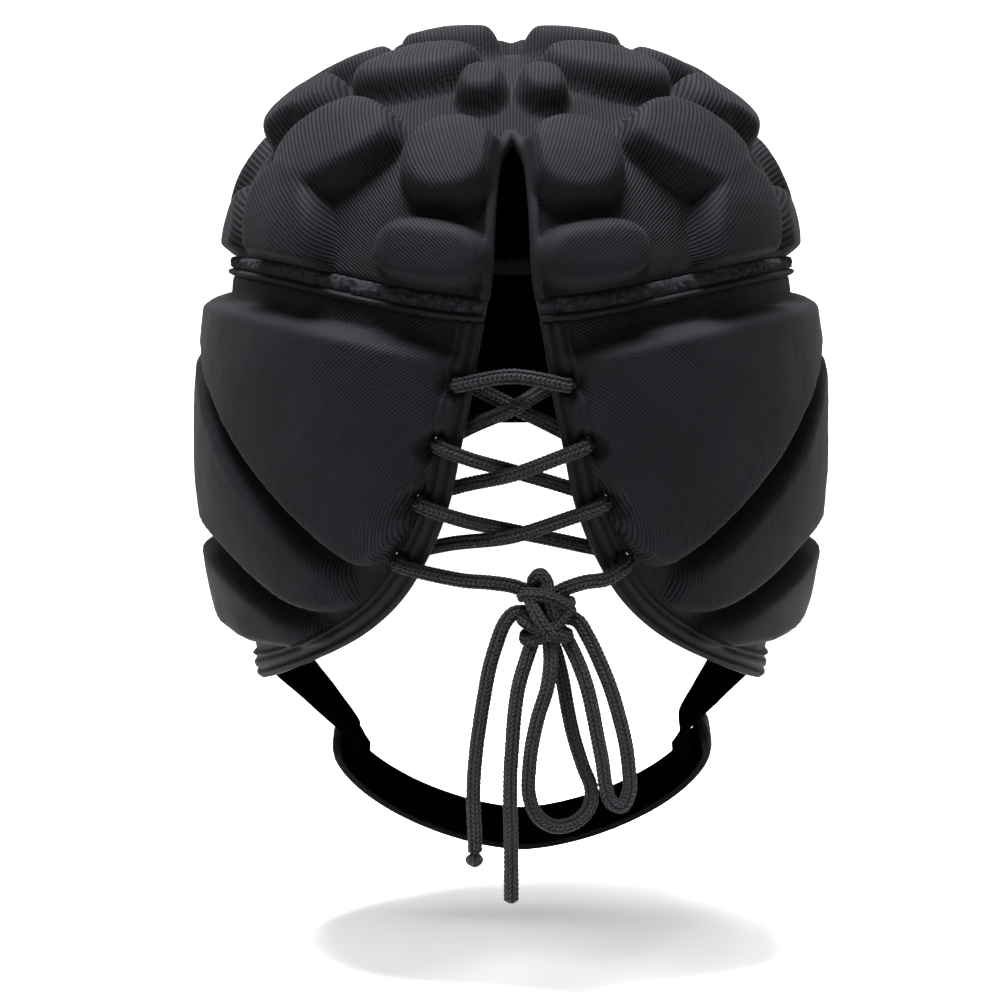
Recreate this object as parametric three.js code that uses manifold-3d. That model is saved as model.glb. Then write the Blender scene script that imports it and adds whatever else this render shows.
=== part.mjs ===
// Padded rugby scrum cap, laced at the back, with a chin strap.
// Millimetres, +Z up, +Y the way the wearer faces, +X the wearer's right.
// The origin is in the middle of the head hollow, at the height of the seam.
import * as THREE from "three";
import Module from "manifold-3d";

const wasm = await Module();
wasm.setup();

// Head hollow
const headBreadth = 158;
const headBack = 97;
const headFront = 97;
const crownRise = 58.5;
const skirtDepth = 121;
const sectionPower = 2.2;
const domePower = 2.15;

// Padded cloth
const wall = 3;
const padSize = 30;
const crownPadHeight = 9.5;
const sidePadHeight = 9;
const browPadHeight = 8;
const padRoot = 1.6;
const clearance = 0.3;

// Seam band between crown and panels
const bandWidth = 6;
const bandThickness = 3.6;
const pipingHeight = 1.6;
const seamDip = 12.7;
const seamDipSpread = 40;

// Openings
const rearGapWidth = 148;
const slitRise = 31;
const faceWidth = 132;
const browDepth = 53;
const browInset = 8;
const earWidth = 26;
const earHeight = 38;
const earForward = 2;
const earDrop = 55;
const ventWidth = 13;
const ventHeight = 17;
const ventTurn = 57;
const ventLevel = 0.7;

// Lace
const laceDiameter = 4;
const laceSides = 8;
const laceHole = 5.6;
const heldStep = 6.3;
const freeStep = 7.2;
const knotCentre = new THREE.Vector3(9.3, -92, -95);
const knotSize = new THREE.Vector3(15, 11, 14);
const endKnobDiameter = 5.2;
const endKnobHeight = 3.4;

// Chin strap
const tabWidth = 20;
const tabThickness = 2.6;
const strapWidth = 25;
const strapThickness = 5;
const strapDrop = 61;
const strapEndDrop = 27.5;
const strapForward = 72;
const strapEndForward = 50;
const strapTilt = 19;
const chinHalf = 57.5;
const chinAside = 3.5;
const chinPower = 1.6;
const tabLap = 8;
const tabTaper = 0.9;
const tabTurns = { from: 104, to: 126 };
const tabEndTurn = 72;
const strapTipTurns = { left: -92, right: 99 };

const rad = THREE.MathUtils.degToRad;
const point = (x, y, z) => new THREE.Vector3(x, y, z);
const turnSteps = 32;

// Half sizes of the hollow below the seam, as shares of those at the seam
const skirtRows = [
  { down: 0, breadth: 1, back: 1, front: 1 },
  { down: 0.25, breadth: 1.05, back: 0.99, front: 0.985 },
  { down: 0.5, breadth: 1.06, back: 0.95, front: 0.96 },
  { down: 0.75, breadth: 1.01, back: 0.87, front: 0.9 },
  { down: 1, breadth: 0.9, back: 0.76, front: 0.85 },
];

function between(rows, key, value, column) {
  const last = rows.length - 1;
  const next = Math.min(Math.max(rows.findIndex((row) => row[key] > value), 1), last);
  const high = value >= rows[last][key] ? last : next;
  const low = high - 1;
  const share = (value - rows[low][key]) / (rows[high][key] - rows[low][key]);
  const held = THREE.MathUtils.clamp(share, 0, 1);
  return THREE.MathUtils.lerp(rows[low][column], rows[high][column], held);
}

// Point of the hollow at a turn from the back, in degrees, and a level: 0 top, 1 seam, 2 lowest hem
function hollowPoint(turn, level) {
  const s = Math.sin(rad(turn));
  const c = Math.cos(rad(turn));
  const round = (Math.abs(s) ** sectionPower + Math.abs(c) ** sectionPower) ** (-1 / sectionPower);
  const polar = Math.min(level, 1) * Math.PI / 2;
  const out = Math.sin(polar);
  const up = Math.cos(polar);
  const dome = (out ** domePower + Math.abs(up) ** domePower) ** (-1 / domePower);
  const down = Math.max(level - 1, 0);
  const length = c > 0 ? headBack * between(skirtRows, "down", down, "back")
    : headFront * between(skirtRows, "down", down, "front");
  const half = headBreadth / 2 * between(skirtRows, "down", down, "breadth");
  const z = level <= 1 ? crownRise * up * dome : -down * skirtDepth;
  return point(half * s * round * out * dome, -length * c * round * out * dome, z);
}

const probe = 0.01;
function slopes(turn, level) {
  const alongTurn = hollowPoint(turn + 1, level).sub(hollowPoint(turn - 1, level)).divideScalar(2);
  const low = Math.max(level - probe, 0);
  const alongLevel = hollowPoint(turn, level + probe).sub(hollowPoint(turn, low));
  return { alongTurn, alongLevel: alongLevel.divideScalar(level + probe - low) };
}

// Point at a lift out from the hollow
function lifted(turn, level, lift) {
  const { alongTurn, alongLevel } = slopes(turn, level);
  const out = alongLevel.cross(alongTurn).normalize();
  return hollowPoint(turn, level).addScaledVector(out, lift);
}

const seamLevel = (turn) => {
  const away = Math.abs(((turn + 180) % 360 + 360) % 360 - 180);
  return 1 + seamDip / skirtDepth * Math.exp(-((away / seamDipSpread) ** 2));
};

// Solids
function solid(points, faces) {
  const vertProperties = new Float32Array(points.flatMap((p) => [p.x, p.y, p.z]));
  let volume = 0;
  for (let i = 0; i < faces.length; i += 3) {
    const [a, b, c] = [points[faces[i]], points[faces[i + 1]], points[faces[i + 2]]];
    volume += a.dot(b.clone().cross(c));
  }
  const triVerts = new Uint32Array(volume < 0 ? faces.reverse() : faces);
  return new wasm.Manifold(new wasm.Mesh({ numProp: 3, vertProperties, triVerts }));
}

// Skin through rings of points, joined end to end or capped at both ends
function loft(rings, closed = false) {
  const sides = rings[0].length;
  const points = rings.flat();
  const faces = [];
  const joins = closed ? rings.length : rings.length - 1;
  for (let j = 0; j < joins; j++) {
    const next = (j + 1) % rings.length;
    for (let i = 0; i < sides; i++) {
      const side = (i + 1) % sides;
      faces.push(j * sides + i, j * sides + side, next * sides + side);
      faces.push(j * sides + i, next * sides + side, next * sides + i);
    }
  }
  if (!closed) {
    for (const [start, flip] of [[0, true], [(rings.length - 1) * sides, false]]) {
      const ring = points.slice(start, start + sides);
      const centre = ring.reduce((sum, p) => sum.add(p), point(0, 0, 0)).divideScalar(sides);
      points.push(centre);
      for (let i = 0; i < sides; i++) {
        const side = (i + 1) % sides;
        const pair = flip ? [start + side, start + i] : [start + i, start + side];
        faces.push(...pair, points.length - 1);
      }
    }
  }
  return solid(points, faces);
}

// Closed solid of a three.js geometry
function fromGeometry(geometry) {
  const found = new Map();
  const points = [];
  const index = [];
  const position = geometry.attributes.position;
  for (let i = 0; i < position.count; i++) {
    const p = point(0, 0, 0).fromBufferAttribute(position, i);
    const key = p.toArray().map((v) => Math.round(v * 1e4)).join();
    if (!found.has(key)) {
      found.set(key, points.length);
      points.push(p);
    }
    index.push(found.get(key));
  }
  const corners = geometry.index ? Array.from(geometry.index.array, (i) => index[i]) : index;
  const faces = [];
  for (let i = 0; i < corners.length; i += 3) {
    const [a, b, c] = corners.slice(i, i + 3);
    if (a !== b && b !== c && c !== a) faces.push(a, b, c);
  }
  return solid(points, faces);
}

const ringAt = (levelAt, lift) => Array.from({ length: turnSteps }, (_, i) => {
  const turn = i * 360 / turnSteps;
  return lifted(turn, levelAt(turn), lift);
});

// Wall all round between two levels
function wallRing(fromLevel, toLevel, rows, inner, outer) {
  const rings = [];
  for (let j = 0; j <= rows; j++) {
    const at = (turn) => THREE.MathUtils.lerp(fromLevel(turn), toLevel(turn), j / rows);
    rings.push(ringAt(at, inner));
  }
  for (let j = rows; j >= 0; j--) {
    const at = (turn) => THREE.MathUtils.lerp(fromLevel(turn), toLevel(turn), j / rows);
    rings.push(ringAt(at, outer));
  }
  return rings;
}

// Pad: rings that close in over a rounded diamond, as shares of its size and height
const pillowRings = [
  { share: 1, rise: 0 },
  { share: 0.93, rise: 0.62 },
  { share: 0.68, rise: 0.97 },
];
function pillow({ turn, level, width, length, lean = 0, square = 1.6, rise: full = 1 }, height, sides) {
  const { alongTurn, alongLevel } = slopes(turn, level);
  const turnPerMm = 1 / alongTurn.length();
  const levelPerMm = 1 / alongLevel.length();
  return loft(pillowRings.map(({ share, rise }) => Array.from({ length: sides }, (_, i) => {
    const angle = i * 2 * Math.PI / sides;
    const c = Math.cos(angle);
    const s = Math.sin(angle);
    const reach = (Math.abs(c) ** square + Math.abs(s) ** square) ** (-1 / square) * share;
    const spot = new THREE.Vector2(width * reach * c, length * reach * s).multiplyScalar(padSize / 2);
    spot.rotateAround(new THREE.Vector2(), rad(lean));
    const lift = rise === 0 ? wall - padRoot : wall + rise * full * height;
    return lifted(turn + spot.x * turnPerMm, level + spot.y * levelPerMm, lift);
  })));
}

// Ridge: an arch swept round the head between an upper and a lower level
const archRows = [
  { across: 0, rise: 0 },
  { across: 0.05, rise: 0.62 },
  { across: 0.2, rise: 0.97 },
  { across: 0.72, rise: 1 },
  { across: 0.94, rise: 0.7 },
  { across: 1, rise: 0 },
];
function ridge(rows, height) {
  return loft(rows.map(({ turn, top, bottom, rise }) => archRows.map((arch) => {
    const level = THREE.MathUtils.lerp(top, bottom, arch.across);
    const lift = arch.rise === 0 ? wall - padRoot : wall + arch.rise * rise * height;
    return lifted(turn, level, lift);
  })));
}

// Pads of the right half: turns in degrees from the back, levels, widths and lengths as shares of padSize
const crownPads = [
  { turn: 15, level: 0.973, width: 0.97, length: 0.55, lean: -8, square: 2.4 },
  { turn: 46, level: 0.905, width: 0.97, length: 1.3, lean: 36, square: 2 },
  { turn: 74, level: 0.91, width: 0.95, length: 0.85, lean: 0, square: 1.9, rise: 0.45 },
  { turn: 12.3, level: 0.725, width: 0.87, length: 0.83, lean: 8, square: 2.1 },
  { turn: 39, level: 0.675, width: 1.3, length: 0.97, lean: 0, square: 1.6 },
  { turn: 8.3, level: 0.485, width: 0.44, length: 0.53, lean: 0, square: 2.6, rise: 0.9 },
  { turn: 31, level: 0.4, width: 1.15, length: 0.83, lean: 14, square: 1.9 },
  { turn: 62, level: 0.545, width: 0.95, length: 0.8, lean: 0, square: 1.8 },
  { turn: 47, level: 0.185, width: 0.95, length: 0.75, lean: 0, square: 1.9 },
  { turn: 70, level: 0.36, width: 0.85, length: 0.68, lean: 0, square: 1.9, rise: 0.9 },
];
const frontPads = [
  { turn: 96, level: 0.92, width: 0.95, length: 0.9, square: 2, rise: 0.4 },
  { turn: 116, level: 0.9, width: 1.07, length: 1, square: 2, rise: 0.5 },
  { turn: 142, level: 0.91, width: 1.07, length: 1, square: 2, rise: 0.9 },
  { turn: 168, level: 0.92, width: 1.1, length: 1, square: 2 },
  { turn: 90, level: 0.72, width: 0.9, length: 0.85, square: 2, rise: 0.5 },
  { turn: 113, level: 0.66, width: 1.03, length: 1, square: 2, rise: 0.7 },
  { turn: 136, level: 0.69, width: 1.03, length: 1, square: 2 },
  { turn: 160, level: 0.7, width: 1.07, length: 1, square: 2 },
  { turn: 98, level: 0.43, width: 0.93, length: 0.85, square: 2 },
  { turn: 125, level: 0.45, width: 0.97, length: 0.9, square: 2 },
  { turn: 157, level: 0.46, width: 1.03, length: 0.93, square: 2 },
  { turn: 125, level: 0.21, width: 0.87, length: 0.8, square: 2 },
  { turn: 162, level: 0.24, width: 0.8, length: 0.87, square: 2 },
];
const browPads = [
  { turn: 168.5, level: 1.21, width: 1.1, length: 1.1, square: 3 },
  { turn: 151, level: 1.21, width: 0.83, length: 1.1, square: 3 },
  { turn: 130, level: 1.24, width: 0.73, length: 1.13, square: 3 },
];
// Ridges of the right side panel, from back to front between two levels
const shieldRows = [
  { turn: 9.5, top: 1.21, bottom: 1.3, rise: 0.15 },
  { turn: 14, top: 1.19, bottom: 1.42, rise: 0.7 },
  { turn: 20, top: 1.17, bottom: 1.6, rise: 1 },
  { turn: 26, top: 1.155, bottom: 1.685, rise: 1 },
  { turn: 33, top: 1.14, bottom: 1.64, rise: 1 },
  { turn: 42, top: 1.12, bottom: 1.55, rise: 1 },
  { turn: 52, top: 1.1, bottom: 1.445, rise: 1 },
  { turn: 62, top: 1.09, bottom: 1.335, rise: 1 },
  { turn: 74, top: 1.08, bottom: 1.24, rise: 0.9 },
  { turn: 90, top: 1.07, bottom: 1.18, rise: 0.8 },
  { turn: 106, top: 1.07, bottom: 1.17, rise: 0.8 },
  { turn: 118, top: 1.09, bottom: 1.16, rise: 0.5 },
];
const earRows = [
  { turn: 31, top: 1.7, bottom: 1.765, rise: 0.4 },
  { turn: 36, top: 1.65, bottom: 1.79, rise: 0.9 },
  { turn: 44, top: 1.565, bottom: 1.77, rise: 1 },
  { turn: 53, top: 1.47, bottom: 1.715, rise: 1 },
  { turn: 62, top: 1.375, bottom: 1.66, rise: 1 },
  { turn: 72, top: 1.28, bottom: 1.63, rise: 0.95 },
  { turn: 85, top: 1.21, bottom: 1.62, rise: 0.92 },
  { turn: 98, top: 1.205, bottom: 1.62, rise: 0.92 },
  { turn: 110, top: 1.25, bottom: 1.61, rise: 0.8 },
  { turn: 119, top: 1.34, bottom: 1.54, rise: 0.5 },
];
const ribRows = [
  { turn: 38, top: 1.825, bottom: 1.86, rise: 0.4 },
  { turn: 46, top: 1.79, bottom: 1.875, rise: 0.9 },
  { turn: 57, top: 1.725, bottom: 1.875, rise: 1 },
  { turn: 70, top: 1.675, bottom: 1.86, rise: 1 },
  { turn: 85, top: 1.655, bottom: 1.84, rise: 1 },
  { turn: 100, top: 1.655, bottom: 1.83, rise: 1 },
  { turn: 114, top: 1.65, bottom: 1.79, rise: 0.6 },
];
const laceHoles = [
  { turn: 9.7, level: 1.265 },
  { turn: 13.1, level: 1.4 },
  { turn: 16.5, level: 1.53 },
  { turn: 21.2, level: 1.665 },
];

const mirrored = (row) => ({ ...row, turn: -row.turn, lean: -(row.lean ?? 0) });
const join = (solids) => solids.reduce((sum, next) => sum.add(next));

// Edge of the gap at the back, half widths as shares of its width, heights of the rise or the skirt
const gapRows = [
  { above: 1, half: 0.002 },
  { above: 0.86, half: 0.018 },
  { above: 0.5, half: 0.028 },
  { above: -0.16, half: 0.036 },
  { above: -0.66, half: 0.056 },
];
const gapLowRows = [
  { below: 0.303, half: 0.074 },
  { below: 0.413, half: 0.092 },
  { below: 0.541, half: 0.114 },
  { below: 0.66, half: 0.152 },
  { below: 0.76, half: 0.2 },
  { below: 0.835, half: 0.26 },
  { below: 0.905, half: 0.345 },
  { below: 0.955, half: 0.415 },
  { below: 1, half: 0.475 },
  { below: 1.06, half: 0.6 },
];
const farOut = 1.2 * (skirtDepth + crownRise);
function sweepAcross(edge, lowest, yFrom, yTo) {
  const curve = new THREE.SplineCurve(edge);
  const smooth = curve.getPoints(Math.round(edge.length * 1.4));
  const bottom = smooth[smooth.length - 1];
  const half = [...smooth, new THREE.Vector2(bottom.x, lowest)];
  const other = half.map((p) => new THREE.Vector2(-p.x, p.y)).reverse();
  const shape = new THREE.Shape([...half, ...other]);
  const geometry = new THREE.ExtrudeGeometry(shape, { depth: yTo - yFrom, bevelEnabled: false });
  geometry.rotateX(Math.PI / 2);
  geometry.translate(0, yTo, 0);
  return fromGeometry(geometry);
}
const rearEdge = [
  ...gapRows.map((row) => new THREE.Vector2(row.half * rearGapWidth, row.above * slitRise)),
  ...gapLowRows.map((row) => new THREE.Vector2(row.half * rearGapWidth, -row.below * skirtDepth)),
];
const rearCut = sweepAcross(rearEdge, -farOut, -farOut, 0);

// Edge of the face opening, from the middle of the brow outwards and down
const faceRows = [
  { half: 0, below: 0 },
  { half: 0.4, below: -0.02 },
  { half: 0.78, below: 0.02 },
  { half: 0.95, below: 0.16 },
  { half: 1, below: 0.4 },
  { half: 0.97, below: 0.75 },
  { half: 0.9, below: 1 },
];
const faceEdge = faceRows.map((row) => {
  const z = -browDepth - row.below * (skirtDepth - browDepth);
  return new THREE.Vector2(row.half * faceWidth / 2, z);
});
const faceCut = sweepAcross(faceEdge, -farOut, 0, farOut);

// Straight cut through the wall at a place on the head
function holeCut(turn, level, width, height, sides, reach) {
  const middle = lifted(turn, level, wall);
  const outside = lifted(turn, level, wall + 1);
  const shape = new THREE.Shape(Array.from({ length: sides }, (_, i) => {
    const angle = (i + 0.5) * 2 * Math.PI / sides;
    return new THREE.Vector2(width / 2 * Math.cos(angle), height / 2 * Math.sin(angle));
  }));
  const geometry = new THREE.ExtrudeGeometry(shape, { depth: 2 * reach, bevelEnabled: false });
  geometry.translate(0, 0, -reach);
  const turned = new THREE.Object3D();
  turned.up.set(0, 0, 1);
  turned.position.copy(middle);
  turned.lookAt(outside);
  turned.updateMatrix();
  return fromGeometry(geometry.applyMatrix4(turned.matrix));
}
function slab(xFrom, xTo, yFrom, yTo) {
  const geometry = new THREE.BoxGeometry(xTo - xFrom, yTo - yFrom, 2 * farOut);
  geometry.translate((xFrom + xTo) / 2, (yFrom + yTo) / 2, 0);
  return fromGeometry(geometry);
}

const bandShare = bandWidth / 2 / skirtDepth;
const gapShare = clearance / skirtDepth;
const bandTop = (turn) => seamLevel(turn) - bandShare;
const bandBottom = (turn) => seamLevel(turn) + bandShare;

// Crown
function makeCrown() {
  const poleLevel = 0.03;
  const rows = 5;
  const edge = (turn) => bandTop(turn) - 2 * gapShare;
  const dome = loft(wallRing(() => poleLevel, edge, rows, 0, wall));
  const seen = crownPads.flatMap((row) => [row, mirrored(row)]);
  const further = frontPads.flatMap((row) => [row, mirrored(row)]);
  const pads = [
    ...seen.map((row) => pillow(row, crownPadHeight, 8)),
    ...further.map((row) => pillow(row, crownPadHeight, 6)),
  ];
  const farBelow = 1.5;
  const below = loft(wallRing(edge, () => farBelow, 1, -wall, wall + 2 * crownPadHeight), true);
  const vents = [-ventTurn, ventTurn].map((turn) =>
    holeCut(turn, ventLevel, ventWidth, ventHeight, 10, 3 * crownPadHeight));
  return join([dome, ...pads]).subtract(below).subtract(rearCut).subtract(join(vents));
}

// Brow and side panels are cut from one skirt
function makeSkirt() {
  const edge = (turn) => bandBottom(turn) + gapShare;
  const skirt = loft(wallRing(edge, () => 2, 6, 0, wall), true);
  const raised = [ridge(shieldRows, sidePadHeight), ridge(earRows, sidePadHeight), ridge(ribRows, sidePadHeight)];
  const both = raised.flatMap((pad) => [pad, pad.mirror([1, 0, 0])]);
  const brow = browPads.flatMap((row) => [row, mirrored(row)]).map((row) => pillow(row, browPadHeight, 6));
  const ear = new THREE.Shape().absellipse(0, 0, earWidth / 2, earHeight / 2, 0, 2 * Math.PI);
  const earGeometry = new THREE.ExtrudeGeometry(ear, { depth: 2 * farOut, bevelEnabled: false, curveSegments: 6 });
  earGeometry.translate(0, 0, -farOut);
  earGeometry.rotateY(Math.PI / 2);
  earGeometry.rotateX(Math.PI / 2);
  earGeometry.translate(0, earForward, -earDrop);
  const holes = laceHoles.flatMap((hole) => [hole, mirrored(hole)]).map((hole) =>
    holeCut(hole.turn, hole.level, laceHole, laceHole, 6, 2 * sidePadHeight));
  return join([skirt, ...both, ...brow]).subtract(rearCut).subtract(faceCut)
    .subtract(fromGeometry(earGeometry)).subtract(join(holes));
}

const crown = makeCrown();
const skirt = makeSkirt();
const joint = faceWidth / 2 - browInset;
const browPanel = skirt.intersect(slab(-joint, joint, 0, farOut));
const sides = skirt.subtract(slab(-joint - clearance, joint + clearance, 0, farOut));

// Seam band: a flat strip with a rolled lower edge
function makeBand() {
  const section = [
    { at: 0, lift: 0 },
    { at: 1, lift: 0 },
    { at: 1, lift: bandThickness + pipingHeight * 0.6 },
    { at: 0.8, lift: bandThickness + pipingHeight },
    { at: 0.55, lift: bandThickness },
    { at: 0, lift: bandThickness },
  ];
  const rings = section.map(({ at, lift }) =>
    ringAt((turn) => THREE.MathUtils.lerp(bandTop(turn), bandBottom(turn), at), lift));
  return loft(rings, true).subtract(rearCut);
}
const band = makeBand();

// Round cord along a route
function cordTube(route, step) {
  const path = new THREE.CatmullRomCurve3(route, false, "centripetal");
  const section = new THREE.Shape(Array.from({ length: laceSides }, (_, i) => {
    const angle = i * 2 * Math.PI / laceSides;
    return new THREE.Vector2(Math.cos(angle), Math.sin(angle)).multiplyScalar(laceDiameter / 2);
  }));
  const steps = Math.round(path.getLength() / step);
  return fromGeometry(new THREE.ExtrudeGeometry(section, { steps, extrudePath: path }));
}

// Held lacing: out over the top, then each strand crosses behind the far edge to the next hole
const laceRadius = laceDiameter / 2;
const outsideLift = wall + laceRadius + 3 * clearance;
const insideLift = -laceRadius - 3 * clearance;
const crossings = [
  { level: 1.318, front: 1 },
  { level: 1.465, front: -1 },
  { level: 1.603, front: 1 },
];
const topBarLevel = 1.245;
const crossMiddle = wall / 2;
const crossApart = laceRadius + clearance;
function holePoints({ turn, level }, side, inward) {
  const spots = [insideLift, wall / 2, outsideLift].map((lift) => lifted(side * turn, level, lift));
  return inward ? spots.reverse() : spots;
}
const nearEdge = { turn: 0.6, level: 0.4 };
function edgePoint(hole, side, crossLevel, lift) {
  const level = THREE.MathUtils.lerp(hole.level, crossLevel, nearEdge.level);
  return lifted(side * hole.turn * nearEdge.turn, level, lift);
}
function heldStrand(side) {
  const points = holePoints(laceHoles[0], side, true);
  crossings.forEach(({ level, front }, i) => {
    const near = i % 2 === 0 ? side : -side;
    points.push(edgePoint(laceHoles[i], near, level, i > 0 ? outsideLift : insideLift));
    points.push(lifted(0, level, crossMiddle + side * front * crossApart));
    points.push(edgePoint(laceHoles[i + 1], -near, level, insideLift));
    points.push(...holePoints(laceHoles[i + 1], -near, false));
  });
  return points;
}
function knotSide(x, y, z) {
  const away = point(x, y, z).normalize();
  const half = knotSize.clone().multiplyScalar(0.5);
  const reach = 1 / away.clone().divide(half).length();
  return knotCentre.clone().addScaledVector(away, reach + 1.5 * clearance);
}
function heldRoute() {
  const over = lifted(0, topBarLevel, outsideLift);
  const right = heldStrand(1);
  const left = heldStrand(-1);
  const leftEnd = [knotSide(-0.8, 0, 0.6), point(-5, -92.5, -86.8), point(-14, -91.5, -86.6)];
  const rightEnd = [point(25, -91.5, -86), point(19.5, -92.5, -87.6), knotSide(0.8, 0, 0.6)];
  return [...leftEnd, ...right.reverse(), over, ...left, ...rightEnd];
}

// Free cords of the bow: routes chosen by hand from the photograph
const routes = {
  lace_tail_left: [
    [0.75, -93.3, -94.8], [-2, -94.4, -97.4], [-4.6, -95, -104], [-6.3, -95, -110],
    [-7.6, -95, -117], [-8.8, -95, -124.5], [-9.8, -95, -132], [-10.5, -95, -140],
    [-10.6, -95, -148], [-10.3, -95, -154], [-10.2, -95, -158], [-10.2, -95, -161],
  ],
  lace_tail_right: [
    [6.2, -94.1, -101.1], [3.9, -95.8, -107.4], [1.8, -96.8, -114.5], [0.7, -97, -122],
    [0.1, -97.2, -130], [-0.4, -97.4, -138], [-0.5, -97.4, -146], [-0.3, -97.4, -154],
    [-0.2, -97.4, -162], [-0.2, -97.4, -168], [-0.2, -97.4, -174],
  ],
  lace_loop_left: [
    [10, -95.6, -101.3], [10.4, -97.6, -107.4], [9.4, -98.6, -115], [7.2, -98.6, -122],
    [5.5, -98.4, -129.5], [4.6, -98, -137], [4.6, -97, -144.5], [7, -95.6, -150.5],
    [11.6, -94, -153.4], [17, -92.4, -152.6], [21, -91.2, -148.8], [21.6, -90.6, -143.4],
    [19.4, -90.2, -137.4], [17, -90, -129.8], [15.2, -89.8, -121.8], [13.8, -89.6, -113.8],
    [12.2, -89.4, -107], [10.6, -89.8, -101.9],
  ],
  lace_loop_right: [
    [14.2, -92.7, -101], [17.4, -94.2, -107], [20.2, -95.4, -114.4], [21.9, -95.8, -121.4],
    [23.2, -96, -128.4], [24.6, -96, -135.4], [25.4, -96, -141.4], [27, -96, -146.4],
    [30, -96, -147.6], [32, -96, -143.6], [31.9, -96, -137.6], [31, -96, -130.6],
    [29.2, -95.8, -123], [27, -95.4, -115.6], [24, -94.4, -108.2], [20.6, -92.8, -101.2],
    [17.7, -91.7, -97],
  ],
};

// Chin strap
const acrossStrap = point(0, Math.cos(rad(strapTilt)), Math.sin(rad(strapTilt)));
function strapMiddle(angle) {
  const s = Math.sin(rad(angle));
  const c = Math.cos(rad(angle));
  const round = (Math.abs(s) ** chinPower + Math.abs(c) ** chinPower) ** (-1 / chinPower);
  const y = THREE.MathUtils.lerp(strapEndForward, strapForward, c * round);
  const drop = THREE.MathUtils.lerp(strapEndDrop, strapDrop, c * round);
  return point(chinAside + chinHalf * s * round, y, -skirtDepth - drop);
}
function strapFrame(angle) {
  const along = strapMiddle(angle + 1).sub(strapMiddle(angle - 1)).normalize();
  const outward = acrossStrap.clone().cross(along).normalize();
  return { middle: strapMiddle(angle), outward };
}
const strapSection = [
  { across: -0.5, out: 0 },
  { across: -0.4, out: 0.5 },
  { across: 0.4, out: 0.5 },
  { across: 0.5, out: 0 },
  { across: 0.4, out: -0.5 },
  { across: -0.4, out: -0.5 },
];
function strapRing(angle, share) {
  const { middle, outward } = strapFrame(angle);
  return strapSection.map(({ across, out }) => middle.clone()
    .addScaledVector(acrossStrap, across * strapWidth * share)
    .addScaledVector(outward, out * strapThickness * Math.sqrt(share)));
}
function makeStrap() {
  const rings = [strapRing(strapTipTurns.left, 0.7)];
  const steps = 16;
  for (let i = 0; i <= steps; i++) {
    rings.push(strapRing(THREE.MathUtils.lerp(strapTipTurns.left + 2, strapTipTurns.right - 6, i / steps), 1));
  }
  rings.push(strapRing(strapTipTurns.right - 2, 0.8), strapRing(strapTipTurns.right, 0.45));
  return loft(rings);
}

// Tab: sewn on the hem, then down to the inner face of the strap
function tabRing(rows) {
  const outer = rows.map(({ middle, outward }) => middle.clone().addScaledVector(outward, tabThickness / 2));
  const inner = rows.map(({ middle, outward }) => middle.clone().addScaledVector(outward, -tabThickness / 2));
  return [...outer, ...inner.reverse()];
}
function hemRing(level) {
  const lift = wall + 2 * clearance + tabThickness / 2;
  return tabRing([0, 0.25, 0.5, 0.75, 1].map((share) => {
    const turn = THREE.MathUtils.lerp(tabTurns.from, tabTurns.to, share);
    const middle = lifted(turn, level, lift);
    return { middle, outward: lifted(turn, level, lift + 1).sub(middle) };
  }));
}
function strapLapRing(angle) {
  const { middle, outward } = strapFrame(angle);
  const inside = middle.clone().addScaledVector(outward, -(strapThickness + tabThickness) / 2 - 3 * clearance);
  return tabRing([-0.5, -0.25, 0, 0.25, 0.5].map((share) => ({
    middle: inside.clone().addScaledVector(acrossStrap, share * tabWidth * tabTaper),
    outward,
  })));
}
function makeTab(side) {
  const mirror = (ring) => ring.map((p) => point(-p.x, p.y, p.z));
  const hem = [hemRing(2 - tabLap / skirtDepth), hemRing(2)];
  const top = side > 0 ? hem : hem.map(mirror);
  const tip = side > 0 ? strapTipTurns.right : -strapTipTurns.left;
  const low = [0, 0.35, 0.7, 1].map((share) => (
    strapLapRing(side * THREE.MathUtils.lerp(tip + 2, tabEndTurn, share))));
  const mid = top[1].map((p, i) => p.clone().lerp(low[0][i], 0.5));
  return loft([...top, mid, ...low]);
}

const model = new THREE.Group();
const finishes = {
  cloth: { color: 0x1b1b20, roughness: 0.85, metalness: 0 },
  loopPile: { color: 0x3a3a3e, roughness: 0.95, metalness: 0 },
  lace: { color: 0x141417, roughness: 0.8, metalness: 0 },
};
function add(name, solidPiece, finish) {
  const mesh = solidPiece.getMesh();
  const geometry = new THREE.BufferGeometry();
  geometry.setAttribute("position", new THREE.BufferAttribute(new Float32Array(mesh.vertProperties), 3));
  geometry.setIndex(Array.from(mesh.triVerts));
  geometry.computeVertexNormals();
  const piece = new THREE.Mesh(geometry, new THREE.MeshStandardMaterial(finishes[finish]));
  piece.name = name;
  model.add(piece);
}
add("crown", crown, "cloth");
add("brow_panel", browPanel, "cloth");
add("side_panel_left", sides.intersect(slab(-farOut, 0, -farOut, farOut)), "cloth");
add("side_panel_right", sides.intersect(slab(0, farOut, -farOut, farOut)), "cloth");
add("seam_band_left", band.intersect(slab(-farOut, -clearance / 2, -farOut, farOut)), "loopPile");
add("seam_band_right", band.intersect(slab(clearance / 2, farOut, -farOut, farOut)), "loopPile");

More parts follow.
